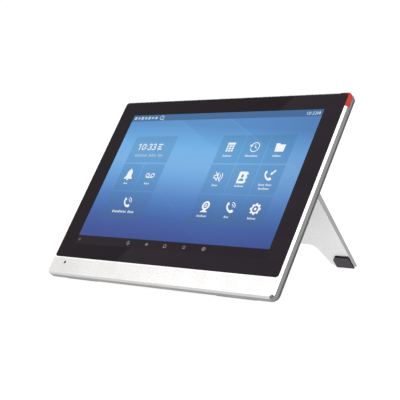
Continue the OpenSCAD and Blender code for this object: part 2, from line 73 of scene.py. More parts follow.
MM = 0.001
cad_slots = {name: [m.name for m in node.data.materials] for name, node in frame["nodes"].items()}
for plain in bpy.data.materials:
    plain.name = "cad_" + plain.name

# ---------- the panel's and the stand's own axes, read from the CAD ----------

joints = {j["name"]: j for j in frame["joints"]}
RIGHT = Vector((1, 0, 0))
UP = Vector(joints["reset_press"]["axis"]).normalized()
BACK = UP.cross(RIGHT)
LEAN = math.atan2(UP.y, UP.z)
OPEN = math.radians(-joints["stand_hinge"]["range_deg"][0])
DOWN = Matrix.Rotation(OPEN, 3, "X") @ -UP
OUT = RIGHT.cross(DOWN)
STAND_TURN = math.atan2(OUT.y, OUT.z)


def along(node, axis):
    """Lowest and highest reach of a CAD node along an axis, in metres."""
    reach = [v.co.dot(axis) for v in frame["nodes"][node].data.vertices]
    return min(reach), max(reach)


# from millimetres right, back and up, from the middle of the frame's lower front edge, to the row frame
PANEL = Matrix((RIGHT, BACK, UP)).transposed().to_4x4()
PANEL.translation = BACK * along("front_frame", BACK)[0] + UP * along("front_frame", UP)[0]
PANEL = PANEL @ Matrix.Scale(MM, 4)


def span(node):
    """A CAD node's box in millimetres, in the panel's axes: (x0, x1), (y0, y1), (z0, z1)."""
    back = PANEL.inverted()
    points = [back @ v.co for v in frame["nodes"][node].data.vertices]
    return [(min(p[i] for p in points), max(p[i] for p in points)) for i in range(3)]


# ---------- procedural finishes ----------


def mix(colour, amount):
    """The colour made lighter, or darker for a negative amount."""
    return [min(1.0, max(0.0, c * (1 + amount))) for c in colour[:3]] + [1.0]


class Finish:
    """A Principled material, with noise in the part's own axes for its colour, roughness and bump."""

    def __init__(self, name, colour, rough, metal=0.0, turn=LEAN):
        self.material = bpy.data.materials.new(name)
        self.material.use_nodes = True
        self.tree = self.material.node_tree
        self.shader = self.tree.nodes["Principled BSDF"]
        self.colour, self.rough, self.turn = colour, rough, turn
        self.set("Base Color", mix(colour, 0)).set("Roughness", rough).set("Metallic", metal)
        self.material.diffuse_color = mix(colour, 0)

    def node(self, kind, values=(), **settings):
        """A new node: values are numbers or sockets for its inputs."""
        n = self.tree.nodes.new(kind)
        for k, v in settings.items():
            setattr(n, k, v)
        for k, v in dict(values).items():
            if isinstance(v, bpy.types.NodeSocket):
                self.link(v, n.inputs[k])
            else:
                n.inputs[k].default_value = v
        return n

    def link(self, a, b):
        self.tree.links.new(a, b)

    def set(self, socket, value):
        self.shader.inputs[socket].default_value = value
        return self

    def place(self, size):
        """Coordinates in the part's own axes, divided by the size of a feature in metres."""
        at = self.node("ShaderNodeTexCoord").outputs["Object"]
        size = size if isinstance(size, tuple) else (size,) * 3
        return self.node(
            "ShaderNodeMapping",
            {"Vector": at, "Rotation": (-self.turn, 0, 0), "Scale": size},
            vector_type="TEXTURE",
        ).outputs["Vector"]

    def split(self, vector):
        """The X, Y and Z outputs of a vector, by name."""
        return self.node("ShaderNodeSeparateXYZ", {"Vector": vector}).outputs

    def noise(self, size, detail=3.0, distortion=0.0):
        values = {"Scale": 1.0, "Detail": detail, "Roughness": 0.6, "Distortion": distortion}
        return self.node("ShaderNodeTexNoise", {"Vector": self.place(size), **values}).outputs["Fac"]

    def spread(self, fac, low, high, start=0.3, end=0.7):
        """From low at start to high at end, and level beyond them."""
        return self.node(
            "ShaderNodeMapRange",
            {"Value": fac, "From Min": start, "From Max": end, "To Min": low, "To Max": high},
        ).outputs["Result"]

    def math(self, kind, a, b):
        return self.node("ShaderNodeMath", {0: a, 1: b}, operation=kind).outputs[0]

    def product(self, first, *others):
        for other in others:
            first = self.math("MULTIPLY", first, other)
        return first

    def ramp(self, fac, stops):
        r = self.node("ShaderNodeValToRGB", {"Fac": fac})
        marks = r.color_ramp.elements
        while len(marks) < len(stops):
            marks.new(0.5)
        for mark, (at, colour) in zip(marks, stops):
            mark.position, mark.color = at, (*colour[:3], 1.0)
        return r.outputs["Color"]

    def blend(self, fac, a, b, kind="MIX"):
        n = self.node("ShaderNodeMix", data_type="RGBA", blend_type=kind)
        # a colour mix has its factor at input 0 and its colours at 6 and 7
        for socket, v in ((n.inputs[0], fac), (n.inputs[6], a), (n.inputs[7], b)):
            if isinstance(v, bpy.types.NodeSocket):
                self.link(v, socket)
            else:
                socket.default_value = v
        return n.outputs[2]

    def cover(self, fac, colour, kind="MIX"):
        """Blends a colour over the base colour that is already linked."""
        base = self.shader.inputs["Base Color"]
        self.link(self.blend(fac, base.links[0].from_socket, colour, kind), base)
        return self

    def grain(self, fine, cloud, tint, shine, bump, fine_share=0.6):
        """Fine grain over slow clouds: colour by tint, roughness by shine, height by bump in metres."""
        small, large = self.noise(fine), self.noise(cloud, detail=2.0)
        both = self.math("ADD", self.product(small, fine_share), self.product(large, 1 - fine_share))
        self.link(
            self.ramp(both, [(0.36, mix(self.colour, -tint)), (0.64, mix(self.colour, tint))]),
            self.shader.inputs["Base Color"],
        )
        self.link(self.spread(both, self.rough - shine, self.rough + shine), self.shader.inputs["Roughness"])
        return self.relief(small, bump)

    def relief(self, height, depth):
        """Adds a bump of a depth in metres to those that are there."""
        before = self.shader.inputs["Normal"].links
        values = {"Height": height, "Strength": 1.0, "Distance": depth}
        if before:
            values["Normal"] = before[0].from_socket
        self.link(self.node("ShaderNodeBump", values).outputs["Normal"], self.shader.inputs["Normal"])
        return self


def blasted(name, colour, rough, grain=0.0007, tint=0.05, bump=0.00003, metal=0.9, turn=LEAN):
    """Sand-blasted and anodised metal: even grain with small glinting pits."""
    f = Finish(name, colour, rough, metal, turn)
    f.grain(grain, 0.03, tint, shine=0.05, bump=bump, fine_share=0.75)
    pits = f.node("ShaderNodeTexVoronoi", {"Vector": f.place(grain * 0.7), "Scale": 1.0}).outputs["Distance"]
    return f.relief(f.spread(pits, 0.0, 1.0, 0.0, 0.5), bump * 0.4)


def brushed(name, colour, rough, size, tint=0.1, turn=LEAN):
    """Metal with fine lines: size is a line's length, spacing and spacing along the three axes."""
    f = Finish(name, colour, rough, 1.0, turn)
    return f.grain(size, 0.02, tint, shine=0.08, bump=0.00001, fine_share=0.7)


def moulded(name, colour, rough, grain=0.0005, tint=0.1, bump=0.00002, specular=0.5):
    """Moulded plastic or rubber with a fine spark texture."""
    f = Finish(name, colour, rough).grain(grain, 0.025, tint, shine=0.06, bump=bump)
    return f.set("Specular IOR Level", specular)


def sheet_metal(name, colour, rough, grain=0.002):
    """Rolled, pressed or plated sheet: soft blotches and faint rolling lines."""
    f = Finish(name, colour, rough, 1.0)
    return f.grain((0.02, grain, grain), 0.012, 0.1, shine=0.08, bump=0.000004, fine_share=0.5)


def front_finish_with_painted_shade():
    """Blasted aluminium with painted shade: its tone deepens a little towards the left end, as the light on
    it weakens there.
    """
    f = blasted(
        "frame_aluminium", (0.955, 0.936, 0.922), 0.42, grain=0.0013, tint=0.16, bump=0.0001, metal=0.75,
    )
    # painted shade: the colour is multiplied down to 0.85 at the left end
    from_left = f.spread(f.split(f.place(MM))["X"], 0.0, 1.0, -130.0, 20.0)
    tone = f.ramp(from_left, [(0.0, (0.85, 0.84, 0.83)), (1.0, (1, 1, 1))])
    return f.cover(1.0, tone, "MULTIPLY")


def board_finish():
    """Solder mask with copper tracks under it and weave in the board."""
    f = Finish("circuit_board", (0.03, 0.22, 0.1), 0.35)
    f.grain(0.0015, 0.02, tint=0.15, shine=0.08, bump=0.000003)
    values = {"Vector": f.place(0.004), "Scale": 1.0, "Mortar Size": 0.06}
    tracks = f.node("ShaderNodeTexBrick", values).outputs["Fac"]
    return f.cover(tracks, (0.08, 0.38, 0.16, 1)).relief(tracks, 0.00003)


def film_finish():
    """Amber film with rows of copper tracks."""
    f = Finish("flex_film", (0.72, 0.38, 0.08), 0.3)
    f.grain(0.001, 0.01, tint=0.08, shine=0.05, bump=0.000002)
    values = {"Vector": f.place(0.0012), "Scale": 0.5}
    wave = f.node("ShaderNodeTexWave", values, bands_direction="X").outputs["Fac"]
    return f.cover(f.spread(wave, 0.0, 0.8, 0.5, 0.7), (0.55, 0.24, 0.05, 1))


def lens_finish():
    """Tinted translucent plastic, with the lamp's faint glow through it."""
    f = Finish("red_lens", (0.41, 0.022, 0.014), 0.35)
    f.grain(0.0015, 0.004, tint=0.10, shine=0.05, bump=0.000004)
    f.set("Specular IOR Level", 0.25)
    return f.set("Emission Color", (0.5, 0.02, 0.01, 1)).set("Emission Strength", 0.04)


# A painted reflection: the black glass is painted lighter to the right of a slanting line and deeper to its
# left. The constants are the line's X per Z, half the width of its soft edge in mm, and its X where Z = 0 in
# the row frame. It passes 72 mm right of the middle, 180 mm up the face.
REFLECTION_SLOPE, REFLECTION_SOFT = 0.74, 2.5
REFLECTION_X = 72 - REFLECTION_SLOPE * (180 + along("front_frame", UP)[0] / MM)


def glass_finish(name="black_glass", colour=(0.0105, 0.0090, 0.0105), with_painted_reflection=True):
    """Polished glass with black print behind it and the faintest wipe marks; with a painted reflection it is
    lighter right of a slanting line.
    """
    f = Finish(name, colour, 0.05)
    wipes = f.noise((0.05, 0.05, 0.012), detail=4.0, distortion=0.6)
    deep, printed = mix(colour, -0.75), f.ramp(wipes, [(0.3, mix(colour, -0.1)), (0.7, mix(colour, 0.15))])
    f.set("Base Color", deep)
    # painted reflection: right of the slanting line the print is lifted to a lighter tone
    if with_painted_reflection:
        at = f.split(f.place(MM))
        past_reflection_edge = f.math("SUBTRACT", at["X"], f.product(at["Z"], REFLECTION_SLOPE))
        right = f.spread(past_reflection_edge, 0.0, 1.0, REFLECTION_X - REFLECTION_SOFT, REFLECTION_X + REFLECTION_SOFT)
        f.link(f.blend(right, deep, printed), f.shader.inputs["Base Color"])
    f.link(f.spread(wipes, 0.035, 0.075), f.shader.inputs["Roughness"])
    return f.set("Specular IOR Level", 0.22).set("Specular Tint", (1.0, 0.68, 1.0, 1.0))


FINISHES = {}


def keep(*finishes):
    for f in finishes:
        FINISHES[f.material.name] = f.material


ALONG_EDGE = (0.02, 0.0006, 0.03)  # brushed lines of the side band
ON_CHAMFER = (0.03, 0.0003, 0.03)  # finer ones of the chamfer
keep(
    # the front frame
    front_finish_with_painted_shade(),
    # a painted highlight: white on the broad facet under the glass
    blasted("frame_lip", (0.96, 0.96, 0.96), 0.3, metal=0.0),
    brushed("frame_side", (0.247, 0.242, 0.244), 0.34, ALONG_EDGE, tint=0.2),
    brushed("frame_rim", (0.045, 0.042, 0.044), 0.4, ALONG_EDGE, tint=0.2),
    brushed("frame_chamfer", (0.90, 0.90, 0.905), 0.28, ON_CHAMFER, tint=0.03),
    # shaded copies of the chamfer's finish: painted shade along the bottom, deeper painted shade at the lower
    # right corner
    brushed("frame_chamfer_low", (0.56, 0.55, 0.545), 0.32, ON_CHAMFER, tint=0.04),
    brushed("frame_chamfer_turn", (0.16, 0.155, 0.155), 0.32, ON_CHAMFER, tint=0.06),
    # glass, lens, boards and tails
    glass_finish(),
    lens_finish(),
    board_finish(),
    film_finish(),
    # the stand
    blasted(
        "stand_aluminium", (0.82, 0.82, 0.82), 0.5,
        grain=0.0013, tint=0.06, bump=0.00005, metal=0.3, turn=STAND_TURN,
    ),
    brushed("stand_side", (0.34, 0.335, 0.34), 0.34, (0.02, 0.03, 0.0004), turn=STAND_TURN),
    # a lighter copy of the plate's finish: a painted highlight on its edge bevels
    blasted("stand_edge_painted_highlight", (0.95, 0.95, 0.95), 0.3, metal=0.4, turn=STAND_TURN),
    # plastic, rubber and film
    moulded("cover_plastic", (0.07, 0.07, 0.075), 0.55, grain=0.0006, bump=0.00003),
    moulded("rubber", (0.047, 0.042, 0.047), 0.75, grain=0.0008, tint=0.15, bump=0.00003),
    # a darker copy of the rubber: painted shade on the feet's bevels and sides, and in the microphone's mouth
    # and bore
    moulded("rubber_edge", (0.012, 0.011, 0.012), 0.8, grain=0.0008, tint=0.15, bump=0.00003, specular=0.2),
    moulded("foam_tape", (0.08, 0.08, 0.08), 0.9, grain=0.0004, bump=0.00004),
    moulded("black_plastic", (0.035, 0.035, 0.038), 0.45, grain=0.0006),
    moulded("chip_plastic", (0.03, 0.03, 0.035), 0.6, grain=0.0004),
    moulded("button_plastic", (0.04, 0.04, 0.04), 0.35),
    moulded("white_plastic", (0.86, 0.86, 0.84), 0.35, grain=0.0008, tint=0.03),
    moulded("speaker_paper", (0.05, 0.05, 0.05), 0.85, grain=0.0009, tint=0.3, bump=0.00005),
    moulded("lead_jacket", (0.5, 0.08, 0.06), 0.5, grain=0.001),
    moulded("sensor_glass", (0.75, 0.82, 0.85), 0.1, grain=0.004, tint=0.02, bump=0.000001),
    moulded("display", (0.14, 0.33, 0.68), 0.2, grain=0.003, bump=0.000001),
    moulded("backlight", (0.85, 0.86, 0.86), 0.6, grain=0.002, tint=0.03),
    moulded("antenna_film", (0.55, 0.5, 0.3), 0.5, grain=0.001),
    moulded("grille_metal", (0.05, 0.05, 0.055), 0.5),
    # bare metal
    sheet_metal("chassis_metal", (0.62, 0.64, 0.67), 0.38),
    sheet_metal("jack_steel", (0.68, 0.68, 0.7), 0.3, 0.0008),
    sheet_metal("cell_steel", (0.75, 0.75, 0.76), 0.28),
    sheet_metal("gold_contacts", (0.85, 0.62, 0.22), 0.25, 0.0006),
    sheet_metal("brass_parts", (0.75, 0.6, 0.28), 0.35),
    sheet_metal("magnet", (0.35, 0.35, 0.36), 0.4),
    blasted("plate_metal", (0.42, 0.42, 0.44), 0.45, grain=0.0006),
    brushed("screw_steel", (0.30, 0.30, 0.31), 0.35, (0.003, 0.0004, 0.0004)),
    brushed("hinge_steel", (0.62, 0.62, 0.64), 0.3, (0.0004, 0.003, 0.003)),
)

# ---------- the lit picture, in units of 1280 x 800 from its upper left corner ----------

PICTURE = (1280.0, 800.0)
GLASS_SHINE = 0.02  # what the glass over the picture adds to it
STATUS_BAR_END, LOWER_BAR = 39, 750

# tones in red, green and blue of 255, at shares of the picture's height
SKY = (
    (0.040, 91, 142, 197),
    (0.090, 97, 153, 208),
    (0.154, 105, 165, 219),
    (0.216, 114, 175, 227),
    (0.280, 121, 177, 227),
    (0.350, 121, 176, 226),
    (0.440, 111, 165, 219),
    (0.516, 100, 150, 207),
    (0.590, 88, 133, 194),
    (0.666, 80, 120, 182),
    (0.740, 75, 106, 169),
    (0.840, 72, 94, 157),
    (0.900, 70, 88, 150),
)
FILM = ((0.2, 60, 112, 138), (0.375, 42, 112, 168), (0.62, 74, 116, 150), (0.8, 80, 112, 124))

# beams: two points of the line that each lies under, and its strength; two of the lines show themselves
LONG_LINE, HIGH_LINE = (0, 150, 800, 715), (740, 50, 1280, 345)
BEAMS = (((380, 40, 870, 300), 0.075), (HIGH_LINE, 0.045), (LONG_LINE, 0.02))

# tiles as x0, y0, x1, y1: the clock, two small ones and a wide one, and the nine on the right
TILES = [(97, 140, 403, 303), (97, 310, 247, 473), (253, 310, 403, 473), (97, 482, 403, 645)]
TILE_ROWS, TILE_STEP = ((140, 303), (310, 475), (482, 645)), 155.6
TILES += [(722 + TILE_STEP * i, y0, 873 + TILE_STEP * i, y1) for i in range(3) for y0, y1 in TILE_ROWS]


def srgb(r, g, b):
    """A tone as the light that the picture gives off, less what the glass adds to it."""
    return [max(0.0, ((c / 255 + 0.055) / 1.055) ** 2.4 - GLASS_SHINE) for c in (r, g, b)]


def picture_finish():
    """A home screen: blue sky with slanting beams, darker tiles, a status bar and a dark lower bar."""
    f = glass_finish("display_picture", with_painted_reflection=False)
    uv = f.split(f.node("ShaderNodeTexCoord").outputs["UV"])
    x = f.product(uv["X"], PICTURE[0])
    y = f.product(f.math("SUBTRACT", 1.0, uv["Y"]), PICTURE[1])

    def tones(share, stops):
        return f.ramp(share, [(at, srgb(*tone)) for at, *tone in stops])

    def past(value, at, soft=2.0):
        """1 beyond a value, 0 before it."""
        return f.spread(value, 0.0, 1.0, at - soft, at + soft)

    def before(value, at):
        return f.math("SUBTRACT", 1.0, past(value, at))

    def inside(x0, y0, x1, y1):
        return f.product(f.product(past(x, x0), before(x, x1)), f.product(past(y, y0), before(y, y1)))

    def under(x0, y0, x1, y1, soft=3.0, offset=0.0):
        """1 below the line through two points, 0 above it."""
        slope = (y1 - y0) / (x1 - x0)
        return past(f.math("SUBTRACT", y, f.product(x, slope)), y0 - slope * x0 + offset, soft)

    # the sky: its bright band slants down to the right, and its right end is dimmer
    wobble = f.product(f.math("SUBTRACT", f.noise(0.11, detail=1.0), 0.5), 40.0)
    level = f.math("ADD", f.math("SUBTRACT", y, f.product(x, 0.07)), wobble)
    sky = tones(f.math("DIVIDE", level, PICTURE[1]), SKY)
    dim_right = f.ramp(f.math("DIVIDE", x, PICTURE[0]), [(0.70, (1, 1, 1)), (0.97, (0.92, 0.84, 0.88))])
    sky = f.blend(1.0, sky, dim_right, "MULTIPLY")

    # slanting beams: broad ones under the lines, and two thin ones along them
    fade = f.spread(y, 1.0, 0.0, 60.0, 620.0)
    from_left = f.spread(x, 0.25, 1.0, 60.0, 460.0)
    for line, strength in BEAMS:
        sky = f.blend(f.product(under(*line), fade, from_left, strength), sky, (0.32, 0.72, 1.0, 1))
    for line in (LONG_LINE, HIGH_LINE):
        thin = f.math("SUBTRACT", under(*line, soft=1.5), under(*line, soft=1.5, offset=4.0))
        faint = f.product(thin, f.spread(y, 0.07, 0.015, 150.0, 640.0))
        sky = f.blend(faint, sky, (0.6, 0.85, 1.0, 1))

    # tiles: a slate film that darkens the upper rows and greys the lower ones
    film = tones(f.math("DIVIDE", y, PICTURE[1]), FILM)
    tiles = inside(*TILES[0])
    for tile in TILES[1:]:
        tiles = f.math("MAXIMUM", tiles, inside(*tile))
    share = f.math("MINIMUM", f.spread(y, 0.25, 0.34, 180.0, 290.0), f.spread(y, 0.34, 0.24, 340.0, 480.0))
    sky = f.blend(f.product(tiles, share), sky, film)

    # status bar and lower bar
    sky = f.blend(f.product(before(y, STATUS_BAR_END), 0.9), sky, (*srgb(72, 108, 150), 1))
    sky = f.blend(past(y, LOWER_BAR, 1.5), sky, (0.009, 0.0068, 0.009, 1))
    f.link(sky, f.shader.inputs["Emission Color"])
    return f.set("Emission Strength", 1.0)


def light_finish(name, colour, strength):
    """Marks of the picture, lit behind the same glass."""
    f = glass_finish(name, (0.02, 0.02, 0.02))
    return f.set("Emission Color", (*colour, 1)).set("Emission Strength", strength)


keep(
    picture_finish(),
    light_finish("marks_bright", (0.93, 0.97, 1.0), 0.92),
    light_finish("marks_soft", (0.62, 0.80, 0.95), 0.72),
    light_finish("marks_grey", (0.60, 0.58, 0.60), 0.36),
)

# ---------- mesh tools ----------


def rounded(x0, x1, z0, z1, r, n=14):
    """Points round a rectangle with round corners, from the lower right, each corner with n + 1 points."""
    corners = ((x1 - r, z0 + r, -90), (x1 - r, z1 - r, 0), (x0 + r, z1 - r, 90), (x0 + r, z0 + r, 180))
    return [
        (cx + r * math.cos(math.radians(a + 90 * i / n)), cz + r * math.sin(math.radians(a + 90 * i / n)))
        for cx, cz, a in corners
        for i in range(n + 1)
    ]


def circle(cx, cy, rx, ry, n):
    return [(cx + rx * math.cos(math.tau * i / n), cy + ry * math.sin(math.tau * i / n)) for i in range(n)]


def fillet(points, radii, n=4):
    """The profile with arcs at its inner points; a radius here is the length cut from each side."""
    made = [points[0]]
    for a, b, c, r in zip(points, points[1:], points[2:], radii):
        a, b, c = Vector(a), Vector(b), Vector(c)
        p, q = b + (a - b).normalized() * r, b + (c - b).normalized() * r
        for t in (i / n for i in range(n + 1)):
            made.append(tuple((1 - t) ** 2 * p + 2 * t * (1 - t) * b + t * t * q))
    return made + [points[-1]]


def at_depth(outline, y):
    return [(x, y, z) for x, z in outline]


def loft(loops, closed=False):
    """A new solid through loops of the same length: capped at both ends, or closed into a ring."""
    bm = bmesh.new()
    rings = [[bm.verts.new(p) for p in loop] for loop in loops]
    following = rings[1:] + rings[:1] if closed else rings[1:]
    for a, b in zip(rings, following):
        n = len(a)
        for i in range(n):
            bm.faces.new((a[i], a[(i + 1) % n], b[(i + 1) % n], b[i]))
    if not closed:
        bm.faces.new(rings[0])
        bm.faces.new(rings[-1])
    return bm


def as_object(bm, name, outward=True):
    """An object from a bmesh, with its normals turned outward unless they are right already."""
    if outward:
        bmesh.ops.recalc_face_normals(bm, faces=bm.faces)
    me = bpy.data.meshes.new(name)
    bm.to_mesh(me)
    bm.free()
    ob = bpy.data.objects.new(name, me)
    bpy.context.scene.collection.objects.link(ob)
    return ob


def cut(bm, cutter, operation):
    """The solid bm less, or within, the solid cutter."""
    a, b = as_object(bm, "cut_a"), as_object(cutter, "cut_b")
    m = a.modifiers.new("cut", "BOOLEAN")
    m.operation, m.solver, m.object = operation, "EXACT", b
    made = bmesh.new()
    made.from_object(a, bpy.context.evaluated_depsgraph_get())
    for o in (a, b):
        bpy.data.meshes.remove(o.data)
    return made


WELD_M, FLAT_DEG, BEVEL_DEG = 2e-6, 0.6, 32  # distance to weld, turns to flatten and to round


def soften(ob, width):
    """Rounds the sharp edges of a CAD or cut mesh, over a width in millimetres."""
    weld = ob.modifiers.new("weld", "WELD")
    weld.merge_threshold = WELD_M
    flat = ob.modifiers.new("flats", "DECIMATE")
    flat.decimate_type, flat.angle_limit, flat.delimit = "DISSOLVE", math.radians(FLAT_DEG), {"MATERIAL"}
    b = ob.modifiers.new("edges", "BEVEL")
    b.width, b.segments, b.limit_method, b.angle_limit = width * MM, 2, "ANGLE", math.radians(BEVEL_DEG)
    b.use_clamp_overlap, b.miter_outer = True, "MITER_ARC"
    n = ob.modifiers.new("even_normals", "WEIGHTED_NORMAL")
    n.weight, n.keep_sharp = 60, False


SHARP = math.radians(38)  # edges that turn by more stay sharp


def piece(name, bm, finishes, replaces=(), bevel=0.0, paint=None):
    """Puts a mesh made in the panel's axes in its place on the phone.

    It gets its finishes, even normals and soft edges; paint tells a face's finish by name.
    """
    bmesh.ops.recalc_face_normals(bm, faces=bm.faces)
    if paint:
        for f in bm.faces:
            f.material_index = finishes.index(paint(f))
    bm.transform(PANEL)
    for f in bm.faces:
        f.smooth = True
    for e in bm.edges:
        if len(e.link_faces) == 2:
            e.smooth = e.calc_face_angle(0.0) < SHARP
    ob = as_object(bm, name)
    for m in finishes:
        ob.data.materials.append(FINISHES[m])
    if bevel:
        soften(ob, bevel)
    else:
        ob.modifiers.new("even_normals", "WEIGHTED_NORMAL").keep_sharp = True
    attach(ob, "phone")
    if replaces:
        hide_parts(*replaces)


# ---------- front frame and call indicator, in millimetres in the panel's axes ----------

(fx0, fx1), (_, fy1), (fz0, fz1) = span("front_frame")
(gx0, gx1), (_, gy1), (gz0, gz1) = span("cover_glass")
(lx0, _), (_, ly1), (lz0, _) = span("indicator_lens")
CORNER, WALL, LEDGE = 4.6, 2.0, 2.8  # outer corner radius, side wall, depth of the ledge behind the glass
GAP, RIM, RIM_BAND = 0.1, 0.3, 0.85  # round the glass, flat rim beside it, dark band along the back
CHAMFER = fx1 - gx1 - GAP - RIM
WINDOW = (-118.5, 118.5, 24.5, 175.0)
POCKET = (gx0 - GAP, gx1 + GAP, gz0 - GAP, gz1 + GAP)
POCKET_R = CORNER - CHAMFER
POCKET_D = gy1 + 0.2
LIP_FINE, LIP_BROAD = 0.1, 0.8  # the pocket's bevel, and its broad facet along the lower edge, which carries a painted highlight
LENS_GAP = 0.04
mic_x, mic_z = (sum(span("microphone_capsule")[i]) / 2 for i in (0, 2))
BORE, MOUTH = 0.8, 1.3  # radii of the microphone hole and of its mouth, which is painted dark as shade

FRAME_FINISHES = [
    "frame_aluminium", "frame_side", "frame_chamfer", "frame_chamfer_low", "frame_chamfer_turn", "frame_rim",
    "rubber_edge", "frame_lip",
]


def mic_circle(r):
    return circle(mic_x, mic_z, r, r, 32)


def frame_solid():
    """The frame as one ring: window, ledge, pocket, lip, front, chamfer, side band and back."""

    def outer(inset):
        return rounded(fx0 + inset, fx1 - inset, fz0 + inset, fz1 - inset, max(CORNER - inset, 0.6))

    window, pocket = rounded(*WINDOW, 1.0), rounded(*POCKET, POCKET_R)
    halfway = (POCKET[2] + POCKET[3]) / 2
    lip = []
    for x, z in pocket:
        if abs(x) > POCKET[1] - POCKET_R:
            x += math.copysign(LIP_FINE, x)
        if z > halfway:
            z += LIP_FINE
        elif z < POCKET[2] + POCKET_R:
            z -= LIP_BROAD
        lip.append((x, z))
    # inset and depth from the front round to the ledge, with the lengths that its corners lose
    around = [
        (CHAMFER + 0.2, 0), (CHAMFER, 0), (0, CHAMFER),
        (0, fy1 - RIM_BAND), (0, fy1), (WALL, fy1), (WALL, LEDGE),
    ]
    profile = fillet(around, [0.12, 0.3, 0.01, 0.3, 0.05])[1:]
    loops = [
        at_depth(window, LEDGE),
        at_depth(window, POCKET_D),
        at_depth(pocket, POCKET_D),
        at_depth(pocket, LIP_FINE),
        at_depth(lip, 0.0),
        *(at_depth(outer(inset), depth) for inset, depth in profile),
    ]
    return loft(loops, closed=True)


def lens_cutter(gap):
    """The corner that the indicator takes: an L whose inner corner follows the glass."""
    right, top, r = POCKET[1] + gap, POCKET[3] + gap, POCKET_R + gap
    past_x, past_z = fx1 + 2, fz1 + 2
    turns = [math.radians(a) for a in range(90, -1, -9)]
    outline = [
        (lx0 + gap, top),
        *((right - r + r * math.cos(a), top - r + r * math.sin(a)) for a in turns),
        (right, lz0 + gap),
        (past_x, lz0 + gap),
        (past_x, past_z),
        (lx0 + gap, past_z),
    ]
    return loft([at_depth(outline, y) for y in (-1.0, ly1 - gap)])


def frame_paint(f):
    """The finish of a face, from where it is and how it looks in the panel's axes."""
    c, n = f.calc_center_median(), f.normal
    # painted shade: the mouth of the microphone hole is dark
    if math.hypot(c.x - mic_x, c.z - mic_z) < MOUTH and c.y > 0.01:
        return "rubber_edge"
    # how far inside the outline, also round its corners
    across = min(c.x - fx0, fx1 - c.x)
    up = min(c.z - fz0, fz1 - c.z)
    edge = min(across, up)
    if across < CORNER and up < CORNER:
        edge = CORNER - math.hypot(CORNER - across, CORNER - up)
    # painted shade on the chamfer: it is dimmer along the bottom, and darkest as it turns at the lower right
    # corner
    if edge < CHAMFER - 0.05 and n.y < -0.3:
        turn = math.degrees(math.atan2(-n.z, n.x))
        if 22 < turn < 72:
            return "frame_chamfer_turn"
        return "frame_chamfer_low" if 72 <= turn < 170 else "frame_chamfer"
    if edge < 0.4 and c.y > fy1 - RIM_BAND and n.z > -0.9:
        return "frame_rim"
    if edge < 0.15 and n.y > -0.3:
        return "frame_side"
    # the broad facet under the glass gets a painted highlight
    if n.y < -0.9 and n.z > 0.1 and abs(c.z - POCKET[2]) < LIP_BROAD + 0.1:
        return "frame_lip"
    return "frame_aluminium"


hole = loft([at_depth(mic_circle(r), y) for y, r in ((-0.4, 2 * MOUTH - BORE), (0.4, BORE), (4.0, BORE))])
shell = cut(cut(frame_solid(), hole, "DIFFERENCE"), lens_cutter(-LENS_GAP), "DIFFERENCE")
piece("front_frame_shell", shell, FRAME_FINISHES, ["front_frame"], paint=frame_paint)
# a black dust mesh in the microphone's bore, whose black also stands in for the bore's shade
mic_screen = loft([at_depth(mic_circle(BORE + 0.1), y) for y in (0.5, 0.6)])
piece("microphone_screen", mic_screen, ["rubber_edge"])
lens = cut(frame_solid(), lens_cutter(LENS_GAP), "INTERSECT")
piece("call_indicator_lens", lens, ["red_lens"], ["indicator_lens"], bevel=0.1)

# ---------- cover glass and the picture behind it ----------

GLASS_R, GLASS_EDGE, RECESS = 2.5, 0.3, 0.4  # corner radius, rounding of the edge, recess at the lit area
(cx0, cx1), _, (cz0, cz1) = span("lcd_cell")
LIT = (cx0 + 4, cx1 - 4, cz0 + 5.2, cz1 - 4.2)  # the cell less its dark margins

opening = rounded(*LIT, 0.02)
glass_profile = fillet([(0, gy1), (0, 0), (3, 0)], [GLASS_EDGE], n=6)[:-1]
glass = loft([
    *(at_depth(rounded(gx0 + d, gx1 - d, gz0 + d, gz1 - d, GLASS_R - d), y) for d, y in glass_profile),
    at_depth(opening, 0),
    at_depth(opening, RECESS),
])
piece("cover_glass_sheet", glass, ["black_glass"], ["cover_glass"])


def on_picture(px, py, depth=0.0):
    """A point of the picture, in its own 1280 x 800 units, on the panel in millimetres."""
    return (
        LIT[0] + (LIT[1] - LIT[0]) * px / PICTURE[0],
        depth,
        LIT[3] - (LIT[3] - LIT[2]) * py / PICTURE[1],
    )


def picture_sheet():
    """The lit sheet as a grid, whose UV runs over the whole picture."""
    bm = bmesh.new()
    uv = bm.loops.layers.uv.new("picture")
    nx, ny = 32, 20
    grid = [
        [bm.verts.new(on_picture(PICTURE[0] * i / nx, PICTURE[1] * j / ny)) for i in range(nx + 1)]
        for j in range(ny + 1)
    ]
    for j in range(ny):
        for i in range(nx):
            corners = ((i, j), (i, j + 1), (i + 1, j + 1), (i + 1, j))
            f = bm.faces.new([grid[v][u] for u, v in corners])
            for loop, (u, v) in zip(f.loops, corners):
                loop[uv].uv = (u / nx, 1 - v / ny)
    return bm


piece("display_picture_sheet", picture_sheet(), ["display_picture"])

# ---------- marks of the picture: generic icons, time digits and plain blocks for words ----------

# A shape is a list of loops: an outline and the holes in it, in the picture's units. dot and polygon give one
# loop; oval, sweep, bar and box one shape; and the icons, which are drawn round a middle, a list of shapes.


def dot(cx, cy, rx, ry=None, n=28):
    return circle(cx, cy, rx, rx if ry is None else ry, n)


def oval(cx, cy, rx, ry, w):
    """A ring of width w, as an outline with a hole."""
    return [dot(cx, cy, rx + w / 2, ry + w / 2, 32), dot(cx, cy, rx - w / 2, ry - w / 2, 32)[::-1]]


